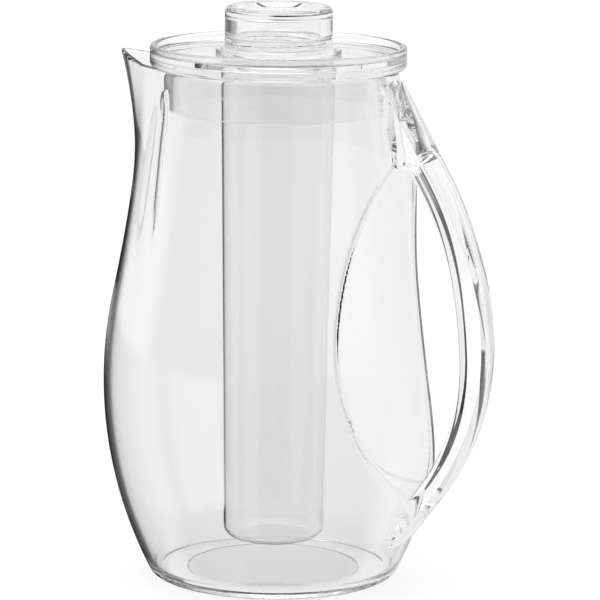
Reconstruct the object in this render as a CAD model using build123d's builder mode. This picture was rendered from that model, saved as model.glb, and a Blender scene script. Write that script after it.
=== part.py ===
from build123d import *
import os
from math import acos, asin, atan2, cos, degrees, hypot, radians, sin, sqrt, tan

# Clear pitcher with an ice core. The pitcher stands on z = 0 with its axis on Z, the spout points
# along -X and the handle along +X. All lengths are in millimetres and all angles in degrees.

# Body: a belly arc that runs tangent into a straight, tapering neck
rim_height = 250.0
rim_radius = 57.7
belly_radius = 83.9
belly_height = 97.0
belly_arc = 206.0
wall = 3.0
floor_thickness = 3.4
floor_corner = 9.0
foot_edge = 5.5
foot_ring_radius = 42.0
foot_recess = 0.8
rim_rounding = 0.9

# Hand recess: a cylinder across the handle's side of the belly
recess_arc = 199.0
recess_height = 140.0
recess_nearest = 54.1
recess_edge = 2.5

# Spout: a fold in the neck that swells with height and is drawn out to a lip
spout_foot_height = 150.0
spout_lip_height = 255.0
spout_reach = 82.0
spout_half_angle = 46.0
spout_tip_angle = 3.0
spout_lid_gap = 1.5

# Handle: a bar between an outer and an inner outline, each of an upper and a lower arc
handle_width = 20.0
handle_reach = 110.5
handle_reach_height = 119.5
handle_thickness = 17.6
handle_upper_arc = 155.0
handle_lower_arc = 130.0
grip_height = 115.0
grip_upper_arc = 178.0
grip_lower_arc = 122.0
grip_top_height = 204.0
grip_foot_height = 37.0
handle_top_gap = 1.5
handle_top_ledge = 1.6
handle_foot_height = 22.0
handle_outer_rounding = 6.0
handle_inner_rounding = 4.0

# Lid: a flange on the rim, a raised edge round a sunk plate, and a plug skirt in the neck
lid_flange_radius = 62.0
lid_height = 11.0
lid_edge_width = 3.0
lid_sink = 4.0
lid_plate = 3.0
lid_clearance = 1.2
skirt_wall = 2.4
skirt_depth = 20.7
lid_bottom_rounding = 2.5
lid_top_rounding = 1.2
lid_inner_rounding = 1.5

# Ice tube: thin and tapered, closed below, hung in the lid by a flange under a short collar, whose bore
# reaches collar_depth below the lid's plate and widens to the tube over collar_cone
tube_top_radius = 27.7
tube_foot_radius = 24.5
tube_foot_height = 18.0
tube_wall = 1.6
tube_floor = 2.0
tube_clearance = 0.3
tube_foot_rounding = 6.0
tube_inner_rounding = 4.5
tube_flange_radius = 30.5
tube_flange = 2.0
tube_flange_rounding = 0.8
collar_radius = 26.2
collar_bore_radius = 23.8
collar_height = 7.4
collar_depth = 0.5
collar_cone = 6.5
collar_fillet = 2.2

# Seal and screw cap
seal_thickness = 1.0
seal_inset = 0.8
cap_radius = 26.0
cap_height = 14.6
cap_plug_depth = 8.0
cap_plug_wall = 2.0
cap_top_wall = 2.5
cap_edge_rounding = 3.0
dish_radius = 16.0
dish_floor_radius = 13.6
dish_depth = 2.5
dish_rounding = 0.8
thread_room = 1.0

# Lengths by which a cutter and the body's blank run past a piece, the depth of the handle's blank in
# the body, the length below which two places count as one, and the steps of the body's loft
past = 20.0
blank_past = 5.0
root_depth = 6.0
near = 0.01
section_count = 14
spout_steps = 10
round_steps = 26

os.makedirs("parts", exist_ok=True)


def tangent_angle(centre, radius, point, side):
    """Angle, seen from centre, where a line from point touches the circle; side is -1 below, 1 above."""
    across = point[0] - centre[0]
    up = point[1] - centre[1]
    return atan2(up, across) + side * acos(radius / hypot(across, up))


def on_circle(centre, radius, angle):
    return (centre[0] + radius * cos(angle), centre[1] + radius * sin(angle))


# Side of the body
belly_centre = (belly_radius - belly_arc, belly_height)
neck_lean = tangent_angle(belly_centre, belly_arc, (rim_radius, rim_height), -1)


def side_radius(height, inset=0.0):
    """Radius of the body's side at a height, set in square to the wall by inset."""
    arc = belly_arc - inset
    joint_radius, joint_height = on_circle(belly_centre, arc, neck_lean)
    if height > joint_height:
        return joint_radius - (height - joint_height) * tan(neck_lean)
    return belly_centre[0] + sqrt(arc**2 - (height - belly_height) ** 2)


# Spout
spout_swell = spout_reach - side_radius(spout_lip_height)
blank_top = spout_lip_height + blank_past


def fold(angle):
    """Share of the spout's swell at an angle in degrees from its ridge: flat flanks and a rounded ridge."""
    half = radians(spout_half_angle)
    tip = radians(spout_tip_angle)
    away = hypot(radians(angle), tip)
    if away > half:
        return 0.0
    return (1 / cos(half - away) - 1) / (1 / cos(half - tip) - 1)


def section(height, inset):
    """Points round the body's section at a height, set in by inset, with the spout along -X."""
    climb = max(0.0, height - spout_foot_height) / (spout_lip_height - spout_foot_height)
    base = side_radius(height, inset)
    spout_angles = [spout_half_angle * step / spout_steps for step in range(-spout_steps, spout_steps + 1)]
    round_span = 360 - 2 * spout_half_angle
    round_angles = [spout_half_angle + round_span * step / round_steps for step in range(1, round_steps)]
    points = []
    for angle in spout_angles + round_angles:
        radius = base + spout_swell * climb**2 * fold((angle + 180) % 360 - 180)
        points.append((-radius * cos(radians(angle)), -radius * sin(radians(angle))))
    return points


def vessel(inset, bottom):
    """Body with its spout and hand recess as one solid block, set in by inset."""
    with BuildPart() as block:
        for step in range(section_count):
            height = bottom + (blank_top - bottom) * step / (section_count - 1)
            with BuildSketch(Plane.XY.offset(height)):
                with BuildLine():
                    Spline(*section(height, inset), periodic=True)
                make_face()
        loft()
        with BuildSketch(Plane.XZ):
            with Locations((recess_nearest + recess_arc, recess_height)):
                Circle(recess_arc + inset)
        extrude(amount=belly_radius + past, both=True, mode=Mode.SUBTRACT)
    return block.part


def half_vessel(block, recess_rounding, foot_rounding):
    """Half of a vessel block on the -Y side, with its recess edge and its foot edge rounded."""
    with BuildPart() as half:
        add(block)
        split(bisect_by=Plane.XZ, keep=Keep.TOP)
        rims = half.edges().filter_by(lambda e: abs(e.center().Y) > wall)
        fillet(rims.filter_by(lambda e: e.bounding_box().center().X > recess_nearest / 2), recess_rounding)
        rims = half.edges().filter_by(lambda e: abs(e.center().Y) > wall)
        fillet(rims.group_by(Axis.Z)[0], foot_rounding)
    return half.part


# Rim line: level under the lid, then rising along the spout to its lip
lip_start = lid_flange_radius + spout_lid_gap
lip_slope = (spout_lip_height - rim_height) / (spout_reach - lip_start)
far = spout_reach + past

outer_block = vessel(0.0, 0.0)
inner_block = vessel(wall, floor_thickness)

with BuildPart() as pitcher_body:
    add(half_vessel(outer_block, recess_edge, foot_edge))
    add(half_vessel(inner_block, recess_edge + wall, floor_corner), mode=Mode.SUBTRACT)
    with BuildSketch(Plane.XZ):
        with BuildLine():
            Polyline(
                (-lip_start, rim_height),
                (far, rim_height),
                (far, blank_top + past),
                (-far, blank_top + past),
                (-far, rim_height + lip_slope * (far - lip_start)),
                (-lip_start, rim_height),
            )
        make_face()
    extrude(amount=far, both=True, mode=Mode.SUBTRACT)
    rim = pitcher_body.edges().filter_by(lambda e: e.bounding_box().min.Z > rim_height - wall)
    fillet(rim.filter_by(lambda e: abs(e.bounding_box().center().Y) > wall), rim_rounding)
    with BuildSketch(Plane.XY):
        Circle(foot_ring_radius)
    extrude(amount=foot_recess, mode=Mode.SUBTRACT)
    mirror(about=Plane.XZ)

pitcher_body.part.label = "pitcher_body"
export_step(pitcher_body.part, "parts/pitcher_body.step")

# Handle outlines, in the plane of the spout and the handle
upper_centre = (handle_reach - handle_upper_arc, handle_reach_height)
lower_centre = (handle_reach - handle_lower_arc, handle_reach_height)
handle_top_height = rim_height - handle_top_gap
handle_top = (side_radius(handle_top_height) + handle_top_ledge, handle_top_height)
handle_foot = (side_radius(handle_foot_height), handle_foot_height)
upper_touch = tangent_angle(upper_centre, handle_upper_arc, handle_top, -1)
lower_touch = tangent_angle(lower_centre, handle_lower_arc, handle_foot, 1)
grip_reach = handle_reach - handle_thickness
root_radius = recess_nearest - root_depth
handle_root = (
    handle_foot[0] + wall * sin(lower_touch),
    handle_foot[1] - wall * cos(lower_touch),
)
grip_upper_centre = (grip_reach - grip_upper_arc, grip_height)
grip_lower_centre = (grip_reach - grip_lower_arc, grip_height)
grip_upper_angle = asin((grip_top_height - grip_height) / grip_upper_arc)
grip_lower_angle = -asin((grip_height - grip_foot_height) / grip_lower_arc)


def on_bar_side(edge):
    """Whether an edge lies on one of the handle's two flat sides."""
    return abs(abs(edge.center().Y) - handle_width / 2) < near


with BuildPart() as handle:
    with BuildSketch(Plane.XZ):
        with BuildLine():
            Line(handle_top, on_circle(upper_centre, handle_upper_arc, upper_touch))
            CenterArc(upper_centre, handle_upper_arc, 0, degrees(upper_touch))
            CenterArc(lower_centre, handle_lower_arc, 0, degrees(lower_touch))
            Polyline(
                on_circle(lower_centre, handle_lower_arc, lower_touch),
                handle_root,
                (root_radius, handle_root[1]),
                (root_radius, handle_top_height),
                handle_top,
            )
        make_face()
    extrude(amount=handle_width / 2, both=True)
    outer_edges = handle.edges().filter_by(on_bar_side)
    fillet(outer_edges.filter_by(lambda e: e.center().X > rim_radius), handle_outer_rounding)
    with BuildSketch(Plane.XZ):
        with BuildLine():
            CenterArc(grip_upper_centre, grip_upper_arc, 0, degrees(grip_upper_angle))
            CenterArc(grip_lower_centre, grip_lower_arc, 0, degrees(grip_lower_angle))
            Polyline(
                on_circle(grip_upper_centre, grip_upper_arc, grip_upper_angle),
                (root_radius - past, grip_top_height),
                (root_radius - past, grip_foot_height),
                on_circle(grip_lower_centre, grip_lower_arc, grip_lower_angle),
            )
        make_face()
    extrude(amount=handle_width, both=True, mode=Mode.SUBTRACT)
    grip_edges = handle.edges(Select.LAST).filter_by(on_bar_side)
    fillet(grip_edges.filter_by(lambda e: e.center().X > root_radius + near), handle_inner_rounding)
    add(outer_block, mode=Mode.SUBTRACT)

handle.part.label = "handle"
export_step(handle.part, "parts/handle.step")

# Lid
lid_top = rim_height + lid_height
lid_floor = lid_top - lid_sink
plate_under = lid_floor - lid_plate
skirt_radius = side_radius(rim_height, wall) - lid_clearance
lid_bore_radius = tube_top_radius + tube_clearance

with BuildPart() as lid:
    with BuildSketch(Plane.XZ):
        with BuildLine():
            Polyline(
                (lid_bore_radius, plate_under),
                (skirt_radius - skirt_wall, plate_under),
                (skirt_radius - skirt_wall, rim_height - skirt_depth),
                (skirt_radius, rim_height - skirt_depth),
                (skirt_radius, rim_height),
                (lid_flange_radius, rim_height),
                (lid_flange_radius, lid_top),
                (lid_flange_radius - lid_edge_width, lid_top),
                (lid_flange_radius - lid_edge_width, lid_floor),
                (lid_bore_radius, lid_floor),
                (lid_bore_radius, plate_under),
            )
        make_face()
    revolve(axis=Axis.Z)
    rings = lid.edges().filter_by(GeomType.CIRCLE)
    under_flange = rings.filter_by(
        lambda e: abs(e.center().Z - rim_height) < near and e.radius > lid_flange_radius - near
    )
    fillet(under_flange, lid_bottom_rounding)
    raised_edge = lid.edges().filter_by(GeomType.CIRCLE).group_by(Axis.Z)[-1]
    fillet(raised_edge, lid_top_rounding)
    plate_corner = lid.edges().filter_by(GeomType.CIRCLE).filter_by(
        lambda e: abs(e.center().Z - lid_floor) < near and e.radius > lid_bore_radius + near
    )
    fillet(plate_corner, lid_inner_rounding)

lid.part.label = "lid"
export_step(lid.part, "parts/lid.step")

# Ice tube
collar_top = lid_floor + collar_height
collar_foot_height = lid_floor - collar_depth
cone_foot_height = collar_foot_height - collar_cone
bore_foot = tube_foot_height + tube_floor


def tube_radius(height):
    """Outer radius of the tapered tube at a height."""
    climb = (height - tube_foot_height) / (lid_floor - tube_foot_height)
    return tube_foot_radius + (tube_top_radius - tube_foot_radius) * climb


with BuildPart() as ice_tube:
    with BuildSketch(Plane.XZ):
        with BuildLine():
            Polyline(
                (0, tube_foot_height),
                (tube_foot_radius, tube_foot_height),
                (tube_top_radius, lid_floor),
                (tube_flange_radius, lid_floor),
                (tube_flange_radius, lid_floor + tube_flange),
                (collar_radius, lid_floor + tube_flange),
                (collar_radius, collar_top),
                (collar_bore_radius, collar_top),
                (collar_bore_radius, collar_foot_height),
                (tube_radius(cone_foot_height) - tube_wall, cone_foot_height),
                (tube_radius(bore_foot) - tube_wall, bore_foot),
                (0, bore_foot),
                (0, tube_foot_height),
            )
        make_face()
    revolve(axis=Axis.Z)
    rings = ice_tube.edges().filter_by(GeomType.CIRCLE)
    fillet(rings.group_by(Axis.Z)[0], tube_foot_rounding)
    rings = ice_tube.edges().filter_by(GeomType.CIRCLE)
    fillet(rings.filter_by(lambda e: abs(e.center().Z - bore_foot) < near), tube_inner_rounding)
    rings = ice_tube.edges().filter_by(GeomType.CIRCLE)
    collar_foot = rings.filter_by(
        lambda e: abs(e.center().Z - lid_floor - tube_flange) < near
        and e.radius < collar_radius + near
    )
    fillet(collar_foot, collar_fillet)
    rings = ice_tube.edges().filter_by(GeomType.CIRCLE)
    flange_rim = rings.filter_by(
        lambda e: abs(e.center().Z - lid_floor - tube_flange) < near
        and e.radius > tube_flange_radius - near
    )
    fillet(flange_rim, tube_flange_rounding)

ice_tube.part.label = "ice_tube"
export_step(ice_tube.part, "parts/ice_tube.step")

# Seal between the collar and the cap
cap_bottom = collar_top + seal_thickness

with BuildPart() as cap_seal:
    with BuildSketch(Plane.XY.offset(collar_top)):
        Circle(cap_radius - seal_inset)
        Circle(collar_bore_radius, mode=Mode.SUBTRACT)
    extrude(amount=seal_thickness)

cap_seal.part.label = "cap_seal"
export_step(cap_seal.part, "parts/cap_seal.step")

# Screw cap: a hollow knob with a dished top and a plug that screws into the collar
plug_radius = collar_bore_radius - thread_room
cap_top = cap_bottom + cap_height
dish_floor = cap_top - dish_depth

with BuildPart() as screw_cap:
    with BuildSketch(Plane.XZ):
        with BuildLine():
            Polyline(
                (0, dish_floor - cap_top_wall),
                (plug_radius - cap_plug_wall, dish_floor - cap_top_wall),
                (plug_radius - cap_plug_wall, cap_bottom - cap_plug_depth),
                (plug_radius, cap_bottom - cap_plug_depth),
                (plug_radius, cap_bottom),
                (cap_radius, cap_bottom),
                (cap_radius, cap_top),
                (dish_radius, cap_top),
                (dish_floor_radius, dish_floor),
                (0, dish_floor),
                (0, dish_floor - cap_top_wall),
            )
        make_face()
    revolve(axis=Axis.Z)
    top_rings = screw_cap.edges().filter_by(GeomType.CIRCLE).group_by(Axis.Z)[-1].sort_by(SortBy.RADIUS)
    fillet(top_rings[-1], cap_edge_rounding)
    top_rings = screw_cap.edges().filter_by(GeomType.CIRCLE).group_by(Axis.Z)[-1].sort_by(SortBy.RADIUS)
    fillet(top_rings[0], dish_rounding)

screw_cap.part.label = "screw_cap"
export_step(screw_cap.part, "parts/screw_cap.step")
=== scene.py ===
# %% [markdown]
# # Clear pitcher with an ice core
# The pitcher is a set of clear plastic mouldings: a bulging body with a bonded handle, a drop-in lid,
# a closed tube for ice that hangs in the lid, and a screw cap that is also the knob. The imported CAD
# model gives every place and size, so the lesson starts by loading it and keeping its box.

# %% Load the frame
from math import acos, asin, atan2, cos, hypot, pi, radians, sin, sqrt, tan

import bpy
import numpy as np
from mathutils import Matrix, Vector


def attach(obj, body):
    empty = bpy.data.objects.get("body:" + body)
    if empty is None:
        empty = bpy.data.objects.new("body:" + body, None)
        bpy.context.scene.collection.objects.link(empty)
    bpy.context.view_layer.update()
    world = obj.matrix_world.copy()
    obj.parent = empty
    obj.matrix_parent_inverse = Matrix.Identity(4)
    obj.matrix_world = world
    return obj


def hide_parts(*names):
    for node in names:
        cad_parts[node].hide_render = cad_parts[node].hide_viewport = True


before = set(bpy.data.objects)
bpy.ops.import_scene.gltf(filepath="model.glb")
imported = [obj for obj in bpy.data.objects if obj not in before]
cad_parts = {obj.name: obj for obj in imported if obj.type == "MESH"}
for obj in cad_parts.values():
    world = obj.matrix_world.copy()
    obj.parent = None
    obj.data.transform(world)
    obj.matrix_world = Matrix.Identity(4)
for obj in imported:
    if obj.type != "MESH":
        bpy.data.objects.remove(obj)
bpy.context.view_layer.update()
MM = 0.001

# %% [markdown]
# ## Camera
# The photograph was taken with a long lens from a little above, turned towards the handle. The place,
# tilt, lean and focal length below were fitted to the outline of the lid, knob and belly. The lens is
# set from its focal length in pixels of a picture 600 pixels wide.

# %% Camera
CAMERA_TURN = radians(20.5)
CAMERA_DISTANCE = 1.8347
CAMERA_HEIGHT = 0.4787
CAMERA_PITCH = radians(10.587)
CAMERA_ROLL = radians(0.696)
CAMERA_YAW = radians(0.368)
SENSOR_WIDTH = 36
PICTURE_PIXELS = 600
FOCAL_PIXELS = 3823


def aim_camera(camera):
    """Put the camera at its fitted place and turn it to its fitted pitch, yaw and roll."""
    forward = Vector((
        sin(CAMERA_YAW) * cos(CAMERA_PITCH),
        cos(CAMERA_YAW) * cos(CAMERA_PITCH),
        -sin(CAMERA_PITCH),
    ))
    level_right = Vector((cos(CAMERA_YAW), -sin(CAMERA_YAW), 0))
    level_up = level_right.cross(forward)
    right = level_right * cos(CAMERA_ROLL) + level_up * sin(CAMERA_ROLL)
    up = level_up * cos(CAMERA_ROLL) - level_right * sin(CAMERA_ROLL)
    axes = Matrix((right, up, -forward)).transposed().to_4x4()
    place = Matrix.Translation((0, -CAMERA_DISTANCE, CAMERA_HEIGHT))
    camera.matrix_world = Matrix.Rotation(CAMERA_TURN, 4, "Z") @ place @ axes


bpy.ops.object.camera_add()
camera = bpy.context.object
camera.data.sensor_width = SENSOR_WIDTH
camera.data.lens = SENSOR_WIDTH * FOCAL_PIXELS / PICTURE_PIXELS
aim_camera(camera)
bpy.context.scene.camera = camera
print("camera lens", round(camera.data.lens, 1), "mm at", [round(v, 3) for v in camera.location])

# %% [markdown]
# ## Stage
# The photograph shows the pitcher on pure white. Clear plastic has no colour of its own: it shows what
# is behind it, a little dimmer, and its dark lines are reflections of unlit parts of a studio. A world
# that is white all round would leave the walls without lines. So a ray that comes straight from the
# camera, or only passes through clear walls, meets white, and a ray that was reflected on the way, or
# turned back inside a wall, meets the studio. Light Path tells the two kinds apart.


# %% Tell straight rays from reflected ones
def calculate(nodes, links, operation, first, second):
    """Math node on two values, each a socket or a number."""
    step = nodes.new("ShaderNodeMath")
    step.operation = operation
    for socket, value in zip(step.inputs, (first, second)):
        if isinstance(value, float):
            socket.default_value = value
        else:
            links.new(value, socket)
    return step.outputs[0]


def straight_ray(nodes, links):
    """Value that is 1 on a ray from the camera, or passed on by clear walls with no reflection."""
    path = nodes.new("ShaderNodeLightPath").outputs
    unreflected = calculate(nodes, links, "LESS_THAN", path["Glossy Depth"], 0.5)
    passed = calculate(nodes, links, "MULTIPLY", path["Is Transmission Ray"], unreflected)
    return calculate(nodes, links, "MAXIMUM", path["Is Camera Ray"], passed)


def empty_nodes(owner):
    """Nodes and links of a world or material, with nothing in them."""
    owner.use_nodes = True
    owner.node_tree.nodes.clear()
    return owner.node_tree.nodes, owner.node_tree.links


def show_by_ray(nodes, links, reflected, straight, output):
    """Give reflected rays one shader and straight rays the other."""
    mix = nodes.new("ShaderNodeMixShader")
    links.new(straight_ray(nodes, links), mix.inputs["Fac"])
    links.new(reflected.outputs[0], mix.inputs[1])
    links.new(straight.outputs[0], mix.inputs[2])
    links.new(mix.outputs[0], nodes.new(output).inputs["Surface"])


print("a straight ray has met no reflection")

# %% [markdown]
# ### Studio
# The studio that the plastic mirrors is brighter or darker by direction. Lit paper stands behind and
# hangs above, and the room in front is dim. Just below the horizon, where the handle and the edges of
# the body mirror from, a band has its own brightness at each angle round the pitcher, counted in
# degrees to the right from straight behind it, and gives the dark and light lines. Cards and flags
# could do the same, but each is found by few rays in thick plastic, so the world's nodes do it.

# %% Studio that reflections show
PAPER_LEVEL, ROOM_LEVEL = 0.95, 0.12
PAPER_EDGE = (-0.1, 0.25)
CEILING_EDGE = (sin(radians(28)), sin(radians(42)))
HORIZON_LOW, HORIZON_HIGH, HORIZON_SOFT = sin(radians(-38)), sin(radians(-4.5)), 0.03
HALF_ROUND = 180
HORIZON_LEVELS = {
    -HALF_ROUND: 0.0, -149: 0.0, -141: 0.8, -112: 0.8, -100: 0.3, -88: 0.5, -40: 0.42, -27: 0.15,
    -18: 0.05, -8: 0.0, 3: 0.0, 8: 0.85, 75: 0.95, 90: 0.25, 130: 0.0, HALF_ROUND: 0.0,
}


def ramp(nodes, links, value, low, high):
    """Smooth step of a value from 0 at low to 1 at high."""
    step = nodes.new("ShaderNodeMapRange")
    step.interpolation_type = "SMOOTHSTEP"
    step.inputs["From Min"].default_value = low
    step.inputs["From Max"].default_value = high
    links.new(value, step.inputs["Value"])
    return step.outputs["Result"]


def band(nodes, links, value, low, high, soft):
    """Smooth band that is 1 between low and high."""
    rise = ramp(nodes, links, value, low - soft, low + soft)
    fall = ramp(nodes, links, value, high + soft, high - soft)
    return calculate(nodes, links, "MULTIPLY", rise, fall)


def along_axis(nodes, links, direction, axis):
    """Component of a direction along an axis."""
    step = nodes.new("ShaderNodeVectorMath")
    step.operation = "DOT_PRODUCT"
    step.inputs[1].default_value = axis
    links.new(direction, step.inputs[0])
    return step.outputs["Value"]


def horizon_level(nodes, links, right, back):
    """Brightness near the horizon by the angle round the pitcher."""
    turn = calculate(nodes, links, "ARCTAN2", right, back)
    around = calculate(nodes, links, "MULTIPLY_ADD", turn, 0.5 / pi)
    around.node.inputs[2].default_value = 0.5
    horizon = nodes.new("ShaderNodeValToRGB")
    stops = horizon.color_ramp.elements
    for degrees, level in HORIZON_LEVELS.items():
        if degrees == -HALF_ROUND:
            stop = stops[0]
        elif degrees == HALF_ROUND:
            stop = stops[-1]
        else:
            stop = stops.new(degrees / 360 + 0.5)
        stop.color = (level, level, level, 1)
    links.new(around, horizon.inputs["Fac"])
    return horizon.outputs["Color"]


def studio_level(nodes, links):
    """Brightness in each direction: lit behind and above, dim in front, the band near the horizon."""
    direction = nodes.new("ShaderNodeTexCoord").outputs["Generated"]
    back = along_axis(nodes, links, direction, (-sin(CAMERA_TURN), cos(CAMERA_TURN), 0))
    right = along_axis(nodes, links, direction, (cos(CAMERA_TURN), sin(CAMERA_TURN), 0))
    up = along_axis(nodes, links, direction, (0, 0, 1))
    paper = ramp(nodes, links, back, *PAPER_EDGE)
    lit = calculate(nodes, links, "MAXIMUM", paper, ramp(nodes, links, up, *CEILING_EDGE))
    lit = calculate(nodes, links, "MULTIPLY", lit, PAPER_LEVEL)
    lit = calculate(nodes, links, "MAXIMUM", lit, ROOM_LEVEL)
    near_horizon = band(nodes, links, up, HORIZON_LOW, HORIZON_HIGH, HORIZON_SOFT)
    mix = nodes.new("ShaderNodeMix")
    links.new(near_horizon, mix.inputs["Factor"])
    links.new(lit, mix.inputs["A"])
    links.new(horizon_level(nodes, links, right, back), mix.inputs["B"])
    return mix.outputs["Result"]


print("studio: paper at", PAPER_LEVEL, "room at", ROOM_LEVEL, "and", len(HORIZON_LEVELS), "angles")

# %% World
world = bpy.data.worlds.new("white_studio")
bpy.context.scene.world = world
world_nodes, world_links = empty_nodes(world)
studio = world_nodes.new("ShaderNodeBackground")
studio.inputs["Color"].default_value = (1, 1, 1, 1)
world_links.new(studio_level(world_nodes, world_links), studio.inputs["Strength"])
white_behind = world_nodes.new("ShaderNodeBackground")
white_behind.inputs["Color"].default_value = (1, 1, 1, 1)
white_behind.inputs["Strength"].default_value = 1.0
show_by_ray(world_nodes, world_links, studio, white_behind, "ShaderNodeOutputWorld")
print("world:", world.name, "with", len(world_nodes), "nodes")

# %% [markdown]
# ### Floor
# The pitcher stands on white paper. A lit white surface would need much light on the pitcher as well
# before it rendered white, so the paper glows a little below white, and a dull share that takes light
# and shadow is added to the glow. Reflected rays pass through it and meet the studio.

# %% Floor
FLOOR_RADIUS, FLOOR_CORNERS = 1.5, 96
FLOOR_GLOW, FLOOR_LIT = 0.86, 0.2


def floor_paper():
    """White paper that keeps the pitcher's shadow and is open to reflected rays."""
    material = bpy.data.materials.new("white_floor")
    nodes, links = empty_nodes(material)
    pale = nodes.new("ShaderNodeBsdfDiffuse")
    pale.inputs["Color"].default_value = (FLOOR_LIT, FLOOR_LIT, FLOOR_LIT, 1)
    glow = nodes.new("ShaderNodeEmission")
    glow.inputs["Strength"].default_value = FLOOR_GLOW
    both = nodes.new("ShaderNodeAddShader")
    links.new(pale.outputs[0], both.inputs[0])
    links.new(glow.outputs[0], both.inputs[1])
    open_below = nodes.new("ShaderNodeBsdfTransparent")
    show_by_ray(nodes, links, open_below, both, "ShaderNodeOutputMaterial")
    return material


bpy.ops.object.select_all(action="DESELECT")
bpy.ops.mesh.primitive_circle_add(vertices=FLOOR_CORNERS, radius=FLOOR_RADIUS, fill_type="NGON")
floor = bpy.context.object
floor.name = "floor"
floor.data.materials.append(floor_paper())
print("floor radius", FLOOR_RADIUS, "m")

# %% [markdown]
# ### Card behind the pitcher
# In a photo studio a white card stands close behind clear ware, cut so that it stays hidden, and the
# walls mirror white in their middle and the room only near their edges. This one narrows upwards as the
# pitcher does. The camera looks through it, so only reflections show it, and it throws no shadow.

# %% Card
CARD_FOOT, CARD_HEAD, CARD_TOP, CARD_BEHIND = 0.075, 0.045, 0.25, 0.12


def card_white():
    """White that only reflected rays meet."""
    material = bpy.data.materials.new("card_white")
    nodes, links = empty_nodes(material)
    white = nodes.new("ShaderNodeEmission")
    white.inputs["Strength"].default_value = PAPER_LEVEL
    unseen = nodes.new("ShaderNodeBsdfTransparent")
    show_by_ray(nodes, links, white, unseen, "ShaderNodeOutputMaterial")
    return material


card_place = (-CARD_BEHIND * sin(CAMERA_TURN), CARD_BEHIND * cos(CAMERA_TURN), CARD_TOP / 2)
bpy.ops.object.select_all(action="DESELECT")
bpy.ops.mesh.primitive_plane_add(size=1, location=card_place, rotation=(pi / 2, 0, CAMERA_TURN))
card = bpy.context.object
card.name = "card_behind"
for vertex in card.data.vertices:
    half_width = CARD_HEAD if vertex.co.y > 0 else CARD_FOOT
    vertex.co = (2 * half_width * vertex.co.x, CARD_TOP * vertex.co.y, 0)
card.data.materials.append(card_white())
card.visible_shadow = False
print("card", 2 * CARD_FOOT, "by", CARD_TOP, "m")

# %% [markdown]
# ### Soft box
# One soft box above gives the floor its shadow. On its way to the white behind, a ray crosses up to a
# dozen clear faces, and it can be turned back many times inside the handle, so the limits on bounces
# are higher than Blender's own: a ray that is stopped early shows as black.

# %% Soft box
BOX_PLACE, BOX_SIZE, BOX_WATTS = (-0.1, -0.1, 1.5), 1.0, 6
PITCHER_MIDDLE = (0, 0, 0.14)
CLEAR_BOUNCES, MIRROR_BOUNCES, OPEN_BOUNCES = 48, 32, 16

bpy.ops.object.light_add(type="AREA", location=BOX_PLACE)
soft_box = bpy.context.object
soft_box.name = "top_box"
soft_box.data.shape = "RECTANGLE"
soft_box.data.size = BOX_SIZE
soft_box.data.size_y = BOX_SIZE
soft_box.data.energy = BOX_WATTS
away = Vector(BOX_PLACE) - Vector(PITCHER_MIDDLE)
soft_box.rotation_euler = away.to_track_quat("Z", "Y").to_euler()
cycles = bpy.context.scene.cycles
cycles.max_bounces = CLEAR_BOUNCES
cycles.transmission_bounces = CLEAR_BOUNCES
cycles.glossy_bounces = MIRROR_BOUNCES
cycles.transparent_max_bounces = OPEN_BOUNCES
bpy.context.scene.view_settings.view_transform = "Standard"
print("soft box of", BOX_WATTS, "W above")

# %% [markdown]
# ## Finishes
# All pieces are clear plastic. A moulding is never optically flat: the melt leaves long, shallow waves
# that bend what is seen through the wall. Use leaves faint hazy rub marks. Towards the foot the tint is
# blended into a second one: painted shade, standing in for the pitcher's shadow on the floor seen
# through the lower walls. Image textures could carry these, but would need unwrapped walls, so each is a
# shader group on Object coordinates that every clear finish uses with its own values.

# %% Node groups
WAVE_DETAIL, WAVE_ROUGHNESS = 1.0, 0.35
HAZE_DETAIL, HAZE_FROM, HAZE_FULL = 4.0, 0.62, 0.8


def new_group(name, inputs, outputs):
    """Shader group with its named inputs, their defaults and its named outputs."""
    group = bpy.data.node_groups.new(name, "ShaderNodeTree")
    for title, value in inputs.items():
        socket = group.interface.new_socket(title, in_out="INPUT", socket_type="NodeSocketFloat")
        socket.default_value = value
    for title in outputs:
        group.interface.new_socket(title, in_out="OUTPUT", socket_type="NodeSocketFloat")
    return group, group.nodes.new("NodeGroupInput"), group.nodes.new("NodeGroupOutput")


def make_flow_waves():
    """Shallow waves left by the melt, stretched along the height of the piece."""
    group, given, result = new_group("flow_waves", {"Scale": 20.0, "Stretch": 0.3}, ["Height"])
    nodes, links = group.nodes, group.links
    place = nodes.new("ShaderNodeTexCoord")
    along_height = nodes.new("ShaderNodeCombineXYZ")
    along_height.inputs["X"].default_value = 1.0
    along_height.inputs["Y"].default_value = 1.0
    links.new(given.outputs["Stretch"], along_height.inputs["Z"])
    squeeze = nodes.new("ShaderNodeMapping")
    links.new(place.outputs["Object"], squeeze.inputs["Vector"])
    links.new(along_height.outputs[0], squeeze.inputs["Scale"])
    noise = nodes.new("ShaderNodeTexNoise")
    noise.inputs["Detail"].default_value = WAVE_DETAIL
    noise.inputs["Roughness"].default_value = WAVE_ROUGHNESS
    links.new(squeeze.outputs[0], noise.inputs["Vector"])
    links.new(given.outputs["Scale"], noise.inputs["Scale"])
    links.new(noise.outputs["Fac"], result.inputs["Height"])
    return group


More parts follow.
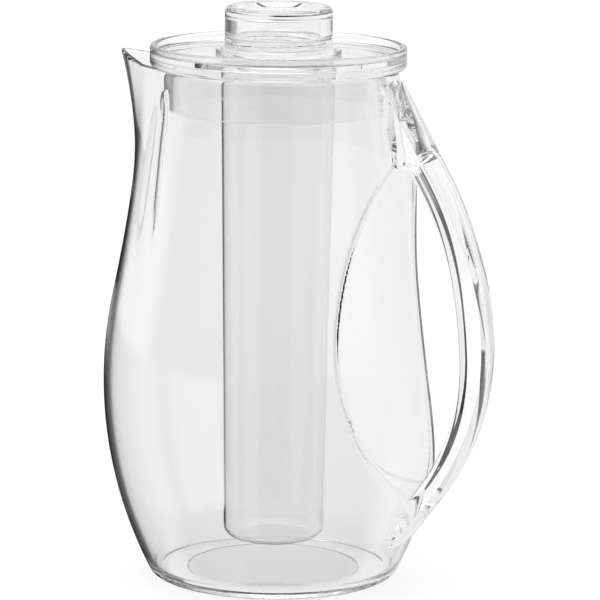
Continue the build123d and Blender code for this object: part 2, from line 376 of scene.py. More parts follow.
def make_rub_haze():
    """Faint patches of fine rub marks: roughness at its least almost everywhere."""
    defaults = {"Scale": 60.0, "Least": 0.0, "Most": 0.05}
    group, given, result = new_group("rub_haze", defaults, ["Roughness"])
    nodes, links = group.nodes, group.links
    place = nodes.new("ShaderNodeTexCoord")
    patches = nodes.new("ShaderNodeTexNoise")
    patches.inputs["Detail"].default_value = HAZE_DETAIL
    links.new(place.outputs["Object"], patches.inputs["Vector"])
    links.new(given.outputs["Scale"], patches.inputs["Scale"])
    only_peaks = nodes.new("ShaderNodeMapRange")
    only_peaks.inputs["From Min"].default_value = HAZE_FROM
    only_peaks.inputs["From Max"].default_value = HAZE_FULL
    links.new(patches.outputs["Fac"], only_peaks.inputs["Value"])
    links.new(given.outputs["Least"], only_peaks.inputs["To Min"])
    links.new(given.outputs["Most"], only_peaks.inputs["To Max"])
    links.new(only_peaks.outputs["Result"], result.inputs["Roughness"])
    return group


def make_painted_foot_shade():
    """Share of the painted shade towards the foot, from 0 high up to 1 at the floor."""
    group, given, result = new_group("painted_foot_shade", {"Height": 0.2}, ["Share"])
    nodes, links = group.nodes, group.links
    place = nodes.new("ShaderNodeTexCoord")
    parts = nodes.new("ShaderNodeSeparateXYZ")
    links.new(place.outputs["Object"], parts.inputs[0])
    fall = nodes.new("ShaderNodeMapRange")
    fall.interpolation_type = "SMOOTHSTEP"
    fall.inputs["To Min"].default_value = 1.0
    fall.inputs["To Max"].default_value = 0.0
    links.new(parts.outputs["Z"], fall.inputs["Value"])
    links.new(given.outputs["Height"], fall.inputs["From Max"])
    links.new(fall.outputs["Result"], result.inputs["Share"])
    return group


painted_foot_shade = make_painted_foot_shade()
flow_waves = make_flow_waves()
rub_haze = make_rub_haze()
print("groups:", flow_waves.name, rub_haze.name, painted_foot_shade.name)

# %% [markdown]
# ### Clear plastic
# Each finish is a Principled shader with full transmission. A Glass shader could do for the render, but
# an exported model carries the values of a Principled one. The waves drive a bump and vary the tint a
# little, the haze drives the roughness, and towards the foot the tint is blended into a second one as
# painted shade. Five pieces are acrylic. The seal is a soft ring of silicone, which bends light less and
# is hazy all over.

# %% Clear plastic
ACRYLIC_IOR, SILICONE_IOR = 1.49, 1.41
# Each finish has a tint and a second tint, which is painted shade towards the foot.
FINISHES = {
    "clear_body": {
        "tint": (0.93, 0.93, 0.93), "painted_shade_tint": (0.92, 0.92, 0.92),
        "wave_scale": 14.0, "wave_height": 0.0004, "haze": (0.0, 0.03), "ior": ACRYLIC_IOR,
    },
    "clear_handle": {
        "tint": (0.97, 0.97, 0.97), "painted_shade_tint": (0.97, 0.97, 0.97),
        "wave_scale": 14.0, "wave_height": 0.0002, "haze": (0.0, 0.03), "ior": ACRYLIC_IOR,
    },
    "clear_lid": {
        "tint": (0.99, 0.99, 0.99), "painted_shade_tint": (0.998, 0.998, 0.998),
        "wave_scale": 18.0, "wave_height": 0.0002, "haze": (0.0, 0.03), "ior": ACRYLIC_IOR,
    },
    "clear_tube": {
        "tint": (0.995, 0.995, 0.99), "painted_shade_tint": (0.99, 0.99, 0.99),
        "wave_scale": 16.0, "wave_height": 0.0001, "haze": (0.0, 0.04), "ior": ACRYLIC_IOR,
    },
    "clear_cap": {
        "tint": (0.99, 0.99, 0.99), "painted_shade_tint": (0.998, 0.998, 0.998),
        "wave_scale": 25.0, "wave_height": 0.0002, "haze": (0.0, 0.05), "ior": ACRYLIC_IOR,
    },
    "clear_seal": {
        "tint": (0.93, 0.93, 0.92), "painted_shade_tint": (0.93, 0.93, 0.92),
        "wave_scale": 40.0, "wave_height": 0.0001, "haze": (0.28, 0.4), "ior": SILICONE_IOR,
    },
}


def place_group(nodes, group):
    """Node that shows a group in a material."""
    node = nodes.new("ShaderNodeGroup")
    node.node_tree = group
    return node


def clear_plastic(name, tint, painted_shade_tint, wave_scale, wave_height, haze, ior):
    """Clear plastic: full transmission, waves as bump, haze as roughness, a tint that varies, and
    painted shade towards the foot.
    """
    material = bpy.data.materials.new(name)
    material.use_nodes = True
    nodes, links = material.node_tree.nodes, material.node_tree.links
    shader = nodes["Principled BSDF"]
    shader.inputs["Transmission Weight"].default_value = 1.0
    shader.inputs["IOR"].default_value = ior
    waves = place_group(nodes, flow_waves)
    waves.inputs["Scale"].default_value = wave_scale
    bump = nodes.new("ShaderNodeBump")
    bump.inputs["Strength"].default_value = 1.0
    bump.inputs["Distance"].default_value = wave_height
    links.new(waves.outputs["Height"], bump.inputs["Height"])
    links.new(bump.outputs["Normal"], shader.inputs["Normal"])
    rubbed = place_group(nodes, rub_haze)
    rubbed.inputs["Least"].default_value, rubbed.inputs["Most"].default_value = haze
    links.new(rubbed.outputs["Roughness"], shader.inputs["Roughness"])
    shade = nodes.new("ShaderNodeMix")
    shade.data_type = "RGBA"
    shade.inputs["A"].default_value = (*tint, 1)
    shade.inputs["B"].default_value = (1, 1, 1, 1)
    links.new(waves.outputs["Height"], shade.inputs["Factor"])
    # Painted shade: towards the foot the tint is blended into the second tint.
    painted_shade_group = place_group(nodes, painted_foot_shade)
    lower = nodes.new("ShaderNodeMix")
    lower.data_type = "RGBA"
    lower.inputs["B"].default_value = (*painted_shade_tint, 1)
    links.new(painted_shade_group.outputs["Share"], lower.inputs["Factor"])
    links.new(shade.outputs["Result"], lower.inputs["A"])
    links.new(lower.outputs["Result"], shader.inputs["Base Color"])
    return material


finishes = {name: clear_plastic(name, **values) for name, values in FINISHES.items()}
print("finishes:", ", ".join(finishes))

# %% [markdown]
# ## Pitcher body
# The body is one moulded shell: a belly arc that runs into a straight, tapering neck, a spout drawn out
# of the neck with a shallow fold on each side of it, a concave hand recess under the handle, and a foot
# ring. Turning a section on a lathe would give the belly but not the spout or the recess. Both are
# simple rules of angle and height, so the radius of the wall is worked out from these rules. Angles are
# counted from the handle, and lengths are in millimetres.

# %% Side, spout and recess rules
RIM_HEIGHT, RIM_RADIUS = 250.0, 57.7
BELLY_RADIUS, BELLY_HEIGHT, BELLY_ARC = 83.9, 97.0, 206.0
WALL, FLOOR_THICKNESS = 3.0, 3.4
RECESS_ARC, RECESS_HEIGHT, RECESS_NEAREST = 199.0, 140.0, 54.1
RECESS_FACING, NO_RECESS = 0.05, 1000.0
SPOUT_FOOT, SPOUT_LIP, SPOUT_REACH = 150.0, 255.0, 82.0
SPOUT_HALF, SPOUT_TIP = radians(46.0), radians(3.0)
FOLD_DEPTH, FOLD_HALF = 1.9, radians(4.2)
FOLD_TURN, FOLD_LEAN = radians(41.0), radians(0.15)
FOLD_LEVELS = (155.0, 188.0, 226.0, 242.0)

BELLY_CENTRE = BELLY_RADIUS - BELLY_ARC
rim_across, rim_up = RIM_RADIUS - BELLY_CENTRE, RIM_HEIGHT - BELLY_HEIGHT
NECK_LEAN = atan2(rim_up, rim_across) - acos(BELLY_ARC / hypot(rim_across, rim_up))


def side_radius(height, inset):
    """Radius of the round side at each height, set in by inset."""
    arc = BELLY_ARC - inset
    joint_radius = BELLY_CENTRE + arc * cos(NECK_LEAN)
    joint_height = BELLY_HEIGHT + arc * sin(NECK_LEAN)
    belly = BELLY_CENTRE + np.sqrt(np.maximum(arc**2 - (height - BELLY_HEIGHT) ** 2, 0))
    neck = joint_radius - (height - joint_height) * tan(NECK_LEAN)
    return np.where(height > joint_height, neck, belly)


def spout_share(turn):
    """Share of the spout's swell at each angle from its ridge: flat flanks and a rounded ridge."""
    away = np.hypot(turn, SPOUT_TIP)
    share = (1 / np.cos(SPOUT_HALF - away) - 1) / (1 / cos(SPOUT_HALF - SPOUT_TIP) - 1)
    return np.where(away > SPOUT_HALF, 0.0, share)


def spout_fold(turn, height):
    """Depth of the shallow fold on both sides of the spout, where its flanks leave the round neck."""
    along_height = np.interp(height, FOLD_LEVELS, (0, 1, 1, 0))
    place = FOLD_TURN + FOLD_LEAN * (FOLD_LEVELS[-1] - height)
    across = np.exp(-(((np.abs(turn) - place) / FOLD_HALF) ** 2))
    return FOLD_DEPTH * across * along_height**2 * (3 - 2 * along_height)


SPOUT_SWELL = SPOUT_REACH - float(side_radius(np.array(SPOUT_LIP), 0.0))


def body_radius(angle, height, inset, softness):
    """Radius at an angle and a height: side and spout, cut by the hand recess with a soft edge."""
    climb = np.maximum(height - SPOUT_FOOT, 0) / (SPOUT_LIP - SPOUT_FOOT)
    turn = np.abs(angle) - pi
    round_wall = side_radius(height, inset) + SPOUT_SWELL * climb**2 * spout_share(turn)
    round_wall = round_wall - spout_fold(turn, height)
    bow = (RECESS_ARC + inset) ** 2 - (height - RECESS_HEIGHT) ** 2
    recess = RECESS_NEAREST + RECESS_ARC - np.sqrt(np.maximum(bow, 0))
    facing = np.cos(angle)
    cut_wall = np.where(facing > RECESS_FACING, recess / np.maximum(facing, RECESS_FACING), NO_RECESS)
    near = np.maximum(softness - np.abs(round_wall - cut_wall), 0) / softness
    return np.minimum(round_wall, cut_wall) - near**2 * softness / 4


print("neck leans", round(NECK_LEAN * 180 / pi, 2), "degrees, spout swells", round(SPOUT_SWELL, 1), "mm")

# %% [markdown]
# ### Rows of the shell
# The shell is laid out as rows of points round the axis. They start at the middle of the foot, go up
# the outside, over the rounded rim and down the inside, and end at the middle of the floor. Solidify
# could give a wall to an outside alone, but the rim would be square and the foot as thin as the side.
# Rows and columns are close where light shows every facet: on the handle's side and round the spout.

# %% Rows and columns of the shell
OUTER_EDGE, INNER_EDGE = 1.2, 2.4
FOOT_EDGE, FLOOR_CORNER, CORNER_STEPS = 5.5, 9.0, 10
RIM_ROUNDING, RIM_STEPS = 0.9, (30, 60, 90)
LIP_START, LIFT_ROUNDS = 63.5, 6
OUTER_ROWS, INNER_ROWS = 132, 110
FLAT_ROW, FLOOR_ROW = 0.3, 30.0
FOOT_SECTION = (
    (0.0, 0.8), (20.0, 0.8), (41.0, 0.8), (41.3, 0.8), (41.8, 0.7),
    (42.1, 0.35), (42.3, 0.1), (42.7, 0.0), (43.0, 0.0), (50.0, 0.0),
)
COLUMN_STRETCHES = ((-72, 72, 0.9), (72, 120, 2.0), (120, 240, 1.0), (240, 288.1, 2.0))

column_degrees = np.concatenate([np.arange(*stretch) for stretch in COLUMN_STRETCHES])
columns = radians(1) * np.where(column_degrees > 180, column_degrees - 360, column_degrees)


def corner(inset, bottom, rounding):
    """Rounded corner between the flat at bottom and the side, as (radius, height) from the flat."""
    arc = BELLY_ARC - inset
    middle_height = bottom + rounding
    middle = BELLY_CENTRE + sqrt((arc - rounding) ** 2 - (middle_height - BELLY_HEIGHT) ** 2)
    end = asin((middle_height - BELLY_HEIGHT) / (arc - rounding))
    turns = np.linspace(-pi / 2, end, CORNER_STEPS)
    return [(middle + rounding * cos(t), middle_height + rounding * sin(t)) for t in turns]


def rim_lift(inset):
    """Rise of the rim above its level at each column, where it climbs along the spout."""
    slope = (SPOUT_LIP - RIM_HEIGHT) / (SPOUT_REACH - LIP_START)
    lift = np.zeros(len(columns))
    for _ in range(LIFT_ROUNDS):
        reach = -np.cos(columns) * body_radius(columns, RIM_HEIGHT + lift, inset, OUTER_EDGE)
        lift = slope * np.maximum(reach - LIP_START, 0)
    return lift


def ring(radius, height):
    """One row of points, from its radius and height at each column."""
    return np.stack([radius * np.cos(columns), radius * np.sin(columns), height], axis=1)


def flat_row(radius, height):
    """Level circle of points."""
    return ring(radius, np.full(len(columns), height))


def wall_row(level, inset, softness, lift):
    """Row round the wall at a level; near the rim the row follows the spout's rise."""
    climb = max(level - SPOUT_FOOT, 0) / (RIM_HEIGHT - SPOUT_FOOT)
    height = level + lift * climb**2
    return ring(body_radius(columns, height, inset, softness), height)


def rim_point(degrees):
    """Level of a point on the rounded rim, and how far it is set in from the wall's face."""
    turn = radians(degrees)
    return RIM_HEIGHT - RIM_ROUNDING * (1 - sin(turn)), RIM_ROUNDING * (1 - cos(turn))


outer_lift, inner_lift = rim_lift(0.0), rim_lift(WALL)
outer_corner = corner(0.0, 0.0, FOOT_EDGE)
inner_corner = corner(WALL, FLOOR_THICKNESS, FLOOR_CORNER)
wall_top = RIM_HEIGHT - RIM_ROUNDING
print("columns:", len(columns), "spout lip rises", round(float(outer_lift.max()), 2), "mm")

# %% Lay the rows
shell_rows = [flat_row(radius, height) for radius, height in FOOT_SECTION]
shell_rows.append(flat_row(outer_corner[0][0] - FLAT_ROW, 0.0))
shell_rows += [flat_row(radius, height) for radius, height in outer_corner]
for level in np.linspace(outer_corner[-1][1], wall_top, OUTER_ROWS)[1:]:
    shell_rows.append(wall_row(level, 0.0, OUTER_EDGE, outer_lift))
for degrees in RIM_STEPS:
    level, inset = rim_point(degrees)
    shell_rows.append(wall_row(level, inset, OUTER_EDGE, outer_lift))
for degrees in reversed(RIM_STEPS):
    level, inset = rim_point(degrees)
    shell_rows.append(wall_row(level, WALL - inset, INNER_EDGE, inner_lift))
for level in np.linspace(wall_top, inner_corner[-1][1], INNER_ROWS)[:-1]:
    shell_rows.append(wall_row(level, WALL, INNER_EDGE, inner_lift))
shell_rows += [flat_row(radius, height) for radius, height in reversed(inner_corner)]
for radius in (inner_corner[0][0] - FLAT_ROW, FLOOR_ROW, 0.0):
    shell_rows.append(flat_row(radius, FLOOR_THICKNESS))
print("shell:", len(shell_rows), "rows of", len(columns), "points")

# %% [markdown]
# ### Wrap a grid
# A flat grid already has its points in rows and its faces between them, so it needs no faces of its
# own to be written out. Its points are laid on the rows, and the seam and the poles are then merged,
# which closes the mesh.

# %% Wrap a grid round the axis
MERGE_DISTANCE = 1e-6


def wrapped_grid(name, rows):
    """Add a flat grid, lay its points on the rows, and merge its seam and poles into a closed mesh."""
    bpy.ops.object.select_all(action="DESELECT")
    bpy.ops.mesh.primitive_grid_add(x_subdivisions=len(rows[0]) - 1, y_subdivisions=len(rows) - 1)
    piece = bpy.context.object
    piece.name = name
    points = np.concatenate(rows) * MM
    piece.data.vertices.foreach_set("co", points.ravel())
    piece.data.update()
    bpy.ops.object.mode_set(mode="EDIT")
    bpy.ops.mesh.select_all(action="SELECT")
    bpy.ops.mesh.remove_doubles(threshold=MERGE_DISTANCE)
    bpy.ops.mesh.normals_make_consistent(inside=False)
    bpy.ops.object.mode_set(mode="OBJECT")
    return piece


pitcher = wrapped_grid("clear_pitcher", shell_rows)
print("shell faces:", len(pitcher.data.polygons))

# %% [markdown]
# ## Handle
# The handle is a solid clear bar, bonded to the neck under the rim and to the belly near the foot. Its
# outside is almost flat and flares towards both roots. Its inner edges are crisp at the grip and softer
# near the roots, where they show as dark lines through the flank. It could be a bevelled curve, but the
# section changes all along it. So each station joins a point of the outer outline to one of the inner
# outline with its own section, and a grid is laid over the stations.

# %% Outlines of the bar
HANDLE_REACH, HANDLE_REACH_HEIGHT, HANDLE_THICKNESS = 110.5, 119.5, 17.6
UPPER_ARC, LOWER_ARC = 155.0, 130.0
GRIP_HEIGHT, GRIP_UPPER_ARC, GRIP_LOWER_ARC = 115.0, 178.0, 122.0
GRIP_TOP, GRIP_FOOT = 204.0, 37.0
HANDLE_TOP, HANDLE_FOOT, TOP_LEDGE = 248.5, 22.0, 1.6
ROOT_RADIUS, ROOT_STEP = 48.1, 2.0
ROOT_STATIONS, UNDERSIDE_STATIONS, HALF_STATIONS = 5, 20, 60


def arc_points(centre, radius, start, end):
    """Points along an arc from one angle to another."""
    turns = np.linspace(start, end, HALF_STATIONS)
    return [(centre[0] + radius * cos(t), centre[1] + radius * sin(t)) for t in turns]


def touch_angle(centre, radius, point, side):
    """Angle, seen from centre, where a line from point touches the circle."""
    across, up = point[0] - centre[0], point[1] - centre[1]
    return atan2(up, across) + side * acos(radius / hypot(across, up))


def along(points, count):
    """The same line, as count points at equal distances."""
    points = np.array(points)
    run = np.concatenate([[0], np.cumsum(np.hypot(*np.diff(points, axis=0).T))])
    at = np.linspace(0, run[-1], count)
    return np.stack([np.interp(at, run, points[:, 0]), np.interp(at, run, points[:, 1])], axis=1)


upper_centre = (HANDLE_REACH - UPPER_ARC, HANDLE_REACH_HEIGHT)
lower_centre = (HANDLE_REACH - LOWER_ARC, HANDLE_REACH_HEIGHT)
top_corner = (float(side_radius(np.array(HANDLE_TOP), 0.0)) + TOP_LEDGE, HANDLE_TOP)
foot_corner = (float(side_radius(np.array(HANDLE_FOOT), 0.0)), HANDLE_FOOT)
upper_touch = touch_angle(upper_centre, UPPER_ARC, top_corner, -1)
lower_touch = touch_angle(lower_centre, LOWER_ARC, foot_corner, 1)
root_end = (foot_corner[0] + WALL * sin(lower_touch), foot_corner[1] - WALL * cos(lower_touch))
outer_line = np.concatenate([
    along([(ROOT_RADIUS, HANDLE_TOP), top_corner], ROOT_STATIONS)[:-1],
    along([top_corner] + arc_points(upper_centre, UPPER_ARC, upper_touch, 0), HALF_STATIONS)[:-1],
    along(arc_points(lower_centre, LOWER_ARC, 0, lower_touch) + [root_end], HALF_STATIONS),
])

grip_reach = HANDLE_REACH - HANDLE_THICKNESS
grip_upper_turn = asin((GRIP_TOP - GRIP_HEIGHT) / GRIP_UPPER_ARC)
grip_lower_turn = -asin((GRIP_HEIGHT - GRIP_FOOT) / GRIP_LOWER_ARC)
grip_upper = arc_points((grip_reach - GRIP_UPPER_ARC, GRIP_HEIGHT), GRIP_UPPER_ARC, grip_upper_turn, 0)
grip_lower = arc_points((grip_reach - GRIP_LOWER_ARC, GRIP_HEIGHT), GRIP_LOWER_ARC, 0, grip_lower_turn)
root_start, root_step = (ROOT_RADIUS, GRIP_TOP), (ROOT_RADIUS + ROOT_STEP, GRIP_TOP)
inner_line = np.concatenate([
    along([root_start, root_step], ROOT_STATIONS)[:-1],
    along([root_step, grip_upper[0]], UNDERSIDE_STATIONS)[:-1],
    along(grip_upper, HALF_STATIONS - UNDERSIDE_STATIONS + 1)[:-1],
    along(grip_lower, HALF_STATIONS),
])
print("stations:", len(outer_line), "outside and", len(inner_line), "inside")

# %% Sections of the bar
BAR_LEVELS = (22.0, 35.0, 50.0, 75.0, 105.0, 130.0, 150.0, 180.0, 192.0, 205.0, 248.5)
HALF_WIDTHS = (21.0, 19.0, 17.0, 13.5, 10.8, 10.3, 10.3, 12.8, 14.2, 15.5, 15.0)
CROWN_RISES = (2.4, 2.2, 2.0, 1.5, 0.8, 0.6, 0.6, 1.3, 1.5, 1.7, 1.7)
INNER_ROUNDINGS = (4.5, 4.5, 4.0, 2.8, 1.5, 1.3, 1.5, 3.2, 3.8, 4.2, 4.2)
OUTER_INSETS = (0.0, 0.0, 0.0, 0.0, 0.5, 1.5, 2.0, 2.3, 1.9, 1.4, 2.4)
INNER_INSETS = (0.0, 1.5, 3.0, 5.5, 5.0, 3.6, 3.8, 4.0, 3.2, 2.5, 2.0)
EASING = np.linspace(-14.0, 14.0, 29)
FLAT_EDGE, CROWN_STEPS, EDGE_STEPS = 0.3, 11, 7


def eased(height, values):
    """Value at a height between the bar's levels, averaged over a stretch so that it has no kinks."""
    return float(np.mean(np.interp(height + EASING, BAR_LEVELS, values)))


def half_section(span, wide, rise, rounding):
    """Half of a section as (depth, width): crowned outside, flat flank, rounded edge, flat inside."""
    radius = (wide**2 + rise**2) / (2 * rise)
    half = []
    for turn in np.linspace(0, asin(wide / radius), CROWN_STEPS):
        half.append((span - radius * (1 - cos(turn)), radius * sin(turn)))
    half.append((span - rise - FLAT_EDGE, wide))
    half.append((rounding + FLAT_EDGE, wide))
    middle = wide - rounding
    for turn in np.linspace(pi / 2, pi, EDGE_STEPS):
        half.append((rounding + rounding * cos(turn), middle + rounding * sin(turn)))
    half.append((0.0, middle - FLAT_EDGE))
    return half


def bar_section(outer, inner):
    """Closed section between an outer and an inner point, both set in by what their heights ask."""
    span = hypot(outer[0] - inner[0], outer[1] - inner[1])
    out = ((outer[0] - inner[0]) / span, (outer[1] - inner[1]) / span)
    inset = eased(inner[1], INNER_INSETS)
    inner = (inner[0] + inset * out[0], inner[1] + inset * out[1])
    span = span - inset - eased(outer[1], OUTER_INSETS)
    rise = min(eased(outer[1], CROWN_RISES), span / 2)
    half = half_section(span, eased(outer[1], HALF_WIDTHS), rise, eased(inner[1], INNER_ROUNDINGS))
    loop = half + [(depth, -across) for depth, across in reversed(half)]
    return np.array([(inner[0] + a * out[0], b, inner[1] + a * out[1]) for a, b in loop])


bar_rows = [bar_section(outer, inner) for outer, inner in zip(outer_line, inner_line)]
bar_rows.insert(0, np.tile(bar_rows[0].mean(axis=0), (len(bar_rows[0]), 1)))
bar_rows.append(np.tile(bar_rows[-1].mean(axis=0), (len(bar_rows[-1]), 1)))
handle = wrapped_grid("clear_handle", bar_rows)
print("bar faces:", len(handle.data.polygons))

# %% [markdown]
# ### Seat on the wall
# The bar's ends run into the wall, and on the real pitcher they are bonded to it with a thin, uneven
# film, which shows as wavy patches at the roots. One joined mesh would hide that bond. So a solid of
# the wall's outer form, grown by the film and waved, is cut away from the bar with a Boolean, and the
# handle stays a piece of its own.

# %% Seat the bar on the shell
BOND_GAP, BOND_WAVES, BOND_PITCH = 0.15, 0.1, 16.0
BOND_SWAY, BOND_ACROSS, BOND_UP = 0.7, 0.8, 0.9
CORE_FOOT, CORE_TOP, CORE_ROWS = 1.0, RIM_HEIGHT + 4.0, 200
LEAST_RADIUS = 1.0


def uneven(row):
    """Row of wall points moved out to the uneven face of the bond."""
    radius = np.hypot(row[:, 0], row[:, 1])
    across, height = row[:, 1], row[:, 2]
    turn = 2 * pi / BOND_PITCH
    swaying = np.sin(turn * height + np.sin(BOND_SWAY * turn * across))
    slanting = np.sin(BOND_ACROSS * turn * across + BOND_UP * turn * height)
    film = BOND_GAP + BOND_WAVES * (swaying + slanting) / 2
    scale = 1 + film / np.maximum(radius, LEAST_RADIUS)
    return np.stack([row[:, 0] * scale, row[:, 1] * scale, height], axis=1)


def cut_away(piece, other):
    """Take a closed mesh out of a piece for good."""
    bpy.ops.object.select_all(action="DESELECT")
    bpy.context.view_layer.objects.active = piece
    piece.select_set(True)
    step = piece.modifiers.new("cut", "BOOLEAN")
    step.operation = "DIFFERENCE"
    step.object = other
    step.solver = "EXACT"
    bpy.ops.object.modifier_apply(modifier=step.name)
    bpy.data.objects.remove(other, do_unlink=True)


no_lift = np.zeros(len(columns))
core_rows = [flat_row(0.0, CORE_FOOT)]
for level in np.linspace(CORE_FOOT, CORE_TOP, CORE_ROWS):
    core_rows.append(uneven(wall_row(level, 0.0, OUTER_EDGE, no_lift)))
core_rows.append(flat_row(0.0, CORE_TOP))
cut_away(handle, wrapped_grid("wall_core", core_rows))
print("handle seated:", len(handle.data.polygons), "faces")

# %% [markdown]
# ### Hand over
# Each finished piece is shaded smooth except at its sharp edges, takes its clear finish, rides on the
# body that carries it in the CAD model, and stands for the CAD node of the same form.

# %% Hand the two over
SMOOTH_BELOW = radians(32)


def finish_piece(piece, body, node, slot):
    """Shade a piece, give it its finish, and tie it to its body, node and slot."""
    bpy.ops.object.select_all(action="DESELECT")
    bpy.context.view_layer.objects.active = piece
    piece.select_set(True)
    bpy.ops.object.shade_smooth_by_angle(angle=SMOOTH_BELOW)
    piece.data.materials.clear()
    piece.data.materials.append(finishes[slot])
    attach(piece, body)
    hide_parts(node)
    print(piece.name, "faces:", len(piece.data.polygons))


finish_piece(pitcher, "pitcher", "pitcher_body", "clear_body")
finish_piece(handle, "pitcher", "handle", "clear_handle")

# %% [markdown]
# ## Turned pieces
# Lid, tube, seal and cap are round, so each is one section spun about the axis. A ring of vertices is
# added, its vertices are moved onto the section in the XZ plane, and Spin carries it round. A Bevel
# modifier could round the edges, but with one width for all, so a section lists each corner with its
# own rounding: radius, height and rounding, in millimetres.

# %% Outline of a section
ROUNDING_STEPS = 7
SUPPORT, LONG_RUN, ROW_SPACING = 0.15, 0.8, 12.0


def rounded(section):
    """Outline of a section with its corners rounded; a rounding of 0 leaves a corner sharp."""
    corners = [np.array(row[:2], float) for row in section]
    outline = []
    for index, (here, (_, _, rounding)) in enumerate(zip(corners, section)):
        if rounding == 0:
            outline.append(tuple(here))
            continue
        back = corners[index - 1] - here
        back = back / np.linalg.norm(back)
        ahead = corners[(index + 1) % len(corners)] - here
        ahead = ahead / np.linalg.norm(ahead)
        half = acos(float(np.clip(back @ ahead, -1, 1))) / 2
        middle = here + (back + ahead) / np.linalg.norm(back + ahead) * rounding / sin(half)
        first = here + back * rounding / tan(half) - middle
        last = here + ahead * rounding / tan(half) - middle
        start = atan2(first[1], first[0])
        sweep = (atan2(last[1], last[0]) - start + pi) % (2 * pi) - pi
        for share in np.linspace(0, 1, ROUNDING_STEPS):
            turn = start + sweep * share
            outline.append((middle[0] + rounding * cos(turn), middle[1] + rounding * sin(turn)))
    return outline


def supported(outline):
    """Outline with rows close to the ends of its long runs, which keeps smooth shading flat there."""
    rows = []
    for index, here in enumerate(outline):
        after = outline[(index + 1) % len(outline)]
        rows.append(here)
        across, up = after[0] - here[0], after[1] - here[1]
        length = hypot(across, up)
        on_axis = here[0] + after[0] == 0
        if length < LONG_RUN or on_axis:
            continue
        pieces = max(1, round(length / ROW_SPACING))
        between = [step / pieces for step in range(1, pieces)]
        for share in [SUPPORT / length, *between, 1 - SUPPORT / length]:
            rows.append((here[0] + across * share, here[1] + up * share))
    return rows


print("corners are rounded in", ROUNDING_STEPS, "points")

# %% Lathe
LATHE_STEPS, START_RADIUS = 160, 0.01


def lathe(name, section):
    """Closed mesh spun from a section."""
    outline = supported(rounded(section))
    bpy.ops.object.select_all(action="DESELECT")
    bpy.ops.mesh.primitive_circle_add(vertices=len(outline), radius=START_RADIUS)
    piece = bpy.context.object
    piece.name = name
    for vertex, (radius, height) in zip(piece.data.vertices, outline):
        vertex.co = (radius * MM, 0, height * MM)
    bpy.ops.object.mode_set(mode="EDIT")
    bpy.ops.mesh.select_all(action="SELECT")
    bpy.ops.mesh.spin(steps=LATHE_STEPS, angle=2 * pi, center=(0, 0, 0), axis=(0, 0, 1))
    bpy.ops.mesh.select_all(action="SELECT")
    bpy.ops.mesh.remove_doubles(threshold=MERGE_DISTANCE)
    bpy.ops.mesh.delete_loose()
    bpy.ops.mesh.select_all(action="SELECT")
    bpy.ops.mesh.normals_make_consistent(inside=False)
    bpy.ops.object.mode_set(mode="OBJECT")
    return piece


print("lathe turns in", LATHE_STEPS, "steps")

# %% [markdown]
# ### Lid
# The lid lies on the rim with a flange that has a raised edge, and a skirt drops into the neck and
# keeps it in place. The tube goes through the hole in its middle. A film of air under the flange keeps
# lid and rim apart, because two clear faces at the same place would render as noise.

# %% Lid
SEAT_GAP = 0.05
LID_HOLE, LID_UNDERSIDE, LID_TOP = 28.0, 254.0, 257.0
SKIRT_INSIDE, SKIRT_OUTSIDE, SKIRT_FOOT = 51.0, 53.4, 229.3
FLANGE_RADIUS, FLANGE_TOP, FLANGE_INSIDE = 62.0, 261.0, 59.0
on_rim = RIM_HEIGHT + SEAT_GAP
lid_section = [
    (LID_HOLE, LID_UNDERSIDE, 0.3), (SKIRT_INSIDE, LID_UNDERSIDE, 0.8),
    (SKIRT_INSIDE, SKIRT_FOOT, 0.5), (SKIRT_OUTSIDE, SKIRT_FOOT, 0.5),
    (SKIRT_OUTSIDE, on_rim, 0.6), (FLANGE_RADIUS, on_rim, 2.5),
    (FLANGE_RADIUS, FLANGE_TOP, 1.2), (FLANGE_INSIDE, FLANGE_TOP, 1.2),
    (FLANGE_INSIDE, LID_TOP, 1.5), (LID_HOLE, LID_TOP, 0.3),
]
finish_piece(lathe("clear_lid", lid_section), "lid", "lid", "clear_lid")

# %% [markdown]
# ### Thread
# Cap and collar are held by a thread of 3 mm a turn. A thread is a helix, and Spin with a rise would
# give one only as a loose strip. So the section gets close rows where the thread is, and after the spin
# the points there are moved in or out by how near they are to the thread's crest.

# %% Thread
THREAD_PITCH, THREAD_DEPTH, THREAD_ROW, THREAD_START = 3.0, 0.5, 0.25, 258.0
THREAD_REACH, THREAD_FADE, CREST_POWER = 0.3, 1.5, 0.7


def threaded_wall(radius, low, high):
    """Close, sharp rows of a section on a plain wall that is to carry the thread."""
    return [(radius, height, 0) for height in np.arange(low, high, THREAD_ROW)]


def press_thread(piece, radius, low, high, depth, offset):
    """Move the wall's points to the thread: a right-hand helix that fades out at both ends."""
    count = 0
    for vertex in piece.data.vertices:
        x, y, height = vertex.co.x, vertex.co.y, vertex.co.z / MM
        if low < height < high and abs(hypot(x, y) / MM - radius) < THREAD_REACH:
            phase = (height - offset) / THREAD_PITCH - atan2(y, x) / (2 * pi)
            crest = max(0.0, cos(2 * pi * phase)) ** CREST_POWER
            fade = min(1.0, (height - low) / THREAD_FADE, (high - height) / THREAD_FADE)
            scale = 1 + depth * crest * fade / radius
            vertex.co.x, vertex.co.y = x * scale, y * scale
            count += 1
    piece.data.update()
    print(piece.name, "thread points:", count)


print("thread of", THREAD_PITCH, "mm a turn")

# %% [markdown]
# ### Ice tube
# The ice core is a tapered tube with a closed foot. It hangs in the lid by a small flange, and its
# short collar carries the thread inside. It is moulded with a draft, so that it leaves the mould, and
# its wall is thin, so that the drink is cooled through it.

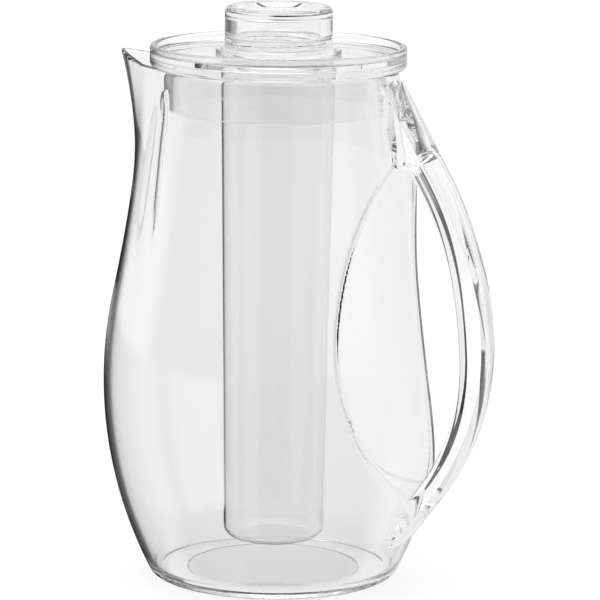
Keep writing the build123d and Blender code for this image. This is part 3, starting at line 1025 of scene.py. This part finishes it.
# %% Ice tube
TUBE_FOOT, TUBE_FLOOR = 18.0, 19.2
FOOT_OUTSIDE, FOOT_INSIDE, HEAD_OUTSIDE = 24.5, 23.6, 27.7
TUBE_FLANGE, TUBE_FLANGE_TOP = 30.5, 259.0
COLLAR_RADIUS, COLLAR_TOP = 26.2, 264.4
BORE_RADIUS, BORE_LOW, BORE_HIGH, BORE_FOOT = 23.75, 257.5, 264.2, 256.5
SHOULDER_RADIUS, SHOULDER_HEIGHT = 26.7, 250.0
on_lid = LID_TOP + SEAT_GAP
tube_section = [
    (0.0, TUBE_FOOT, 0), (FOOT_OUTSIDE, TUBE_FOOT, 6.0), (HEAD_OUTSIDE, on_lid, 0.5),
    (TUBE_FLANGE, on_lid, 0.4), (TUBE_FLANGE, TUBE_FLANGE_TOP, 0.8),
    (COLLAR_RADIUS, TUBE_FLANGE_TOP, 2.2), (COLLAR_RADIUS, COLLAR_TOP, 0.3),
    (BORE_RADIUS, COLLAR_TOP, 0.3),
    *reversed(threaded_wall(BORE_RADIUS, BORE_LOW, BORE_HIGH)),
    (BORE_RADIUS, BORE_FOOT, 1.0), (SHOULDER_RADIUS, SHOULDER_HEIGHT, 1.0),
    (FOOT_INSIDE, TUBE_FLOOR, 4.5), (0.0, TUBE_FLOOR, 0),
]
tube = lathe("clear_tube", tube_section)
bore_start = THREAD_START + THREAD_PITCH / 2
press_thread(tube, BORE_RADIUS, BORE_LOW, BORE_HIGH, -THREAD_DEPTH, bore_start)
finish_piece(tube, "ice core", "ice_tube", "clear_tube")

# %% [markdown]
# ### Screw cap
# The cap is the knob of the lid: hollow from below, with a dished top, and a plug that screws into the
# collar. Its ridges lie midway between those of the bore, so the two threads never meet.

# %% Screw cap
PLUG_RADIUS, PLUG_INSIDE, PLUG_FOOT = 22.8, 20.8, 257.4
PLUG_LOW, PLUG_HIGH = 257.7, 265.1
CAP_RADIUS, CAP_FOOT, CAP_TOP, CAP_CEILING = 26.0, 265.4, 280.0, 275.0
DISH_RADIUS, DISH_FLOOR_RADIUS, DISH_FLOOR = 16.0, 13.6, 277.5
cap_section = [
    (0.0, CAP_CEILING, 0), (PLUG_INSIDE, CAP_CEILING, 1.5), (PLUG_INSIDE, PLUG_FOOT, 0.3),
    (PLUG_RADIUS, PLUG_FOOT, 0.3),
    *threaded_wall(PLUG_RADIUS, PLUG_LOW + THREAD_ROW, PLUG_HIGH),
    (PLUG_RADIUS, CAP_FOOT, 0.25), (CAP_RADIUS, CAP_FOOT, 0.4), (CAP_RADIUS, CAP_TOP, 3.0),
    (DISH_RADIUS, CAP_TOP, 0.8), (DISH_FLOOR_RADIUS, DISH_FLOOR, 0.8), (0.0, DISH_FLOOR, 0),
]
cap = lathe("clear_cap", cap_section)
press_thread(cap, PLUG_RADIUS, PLUG_LOW, PLUG_HIGH, THREAD_DEPTH, THREAD_START)
finish_piece(cap, "cap", "screw_cap", "clear_cap")

# %% [markdown]
# ### Seal
# A soft, clear ring lies between the collar and the cap and keeps melted ice in the tube. A torus
# would be round, and a pressed ring is flat, so it is a small rounded section on the same lathe.

# %% Seal
SEAL_INSIDE, SEAL_OUTSIDE = 23.8, 25.2
seal_foot, seal_top = COLLAR_TOP + SEAT_GAP, CAP_FOOT - SEAT_GAP
seal_section = [
    (SEAL_INSIDE, seal_foot, 0.2), (SEAL_OUTSIDE, seal_foot, 0.3),
    (SEAL_OUTSIDE, seal_top, 0.3), (SEAL_INSIDE, seal_top, 0.2),
]
finish_piece(lathe("clear_seal", seal_section), "seal", "cap_seal", "clear_seal")
